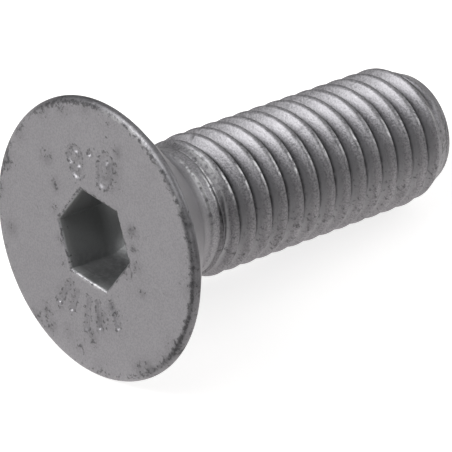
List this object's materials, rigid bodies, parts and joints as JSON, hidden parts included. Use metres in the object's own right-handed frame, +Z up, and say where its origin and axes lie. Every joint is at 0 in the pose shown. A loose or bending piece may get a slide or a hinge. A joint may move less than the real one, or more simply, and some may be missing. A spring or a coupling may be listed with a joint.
{
  "type": "countersunk socket screw",
  "caption": "Metric machine screw with a flat countersunk head, a hexagon socket, a short plain neck and a right-hand thread to a tapered flat point.",
  "frame": {"origin": "centre of the head's flat front face, on the screw's own axis", "axes": "+X is the level direction from the head to the tip and +Z is up; the screw lies at rest, so its own axis dips 10.2 degrees below +X towards the tip"},
  "size_m": [0.0318, 0.0196, 0.0193],
  "materials": {
    "zinc_flake_coat": "matte grey zinc flake coat on steel"
  },
  "bodies": {
    "root": {"screw": "zinc_flake_coat"}
  },
  "joints": []
}
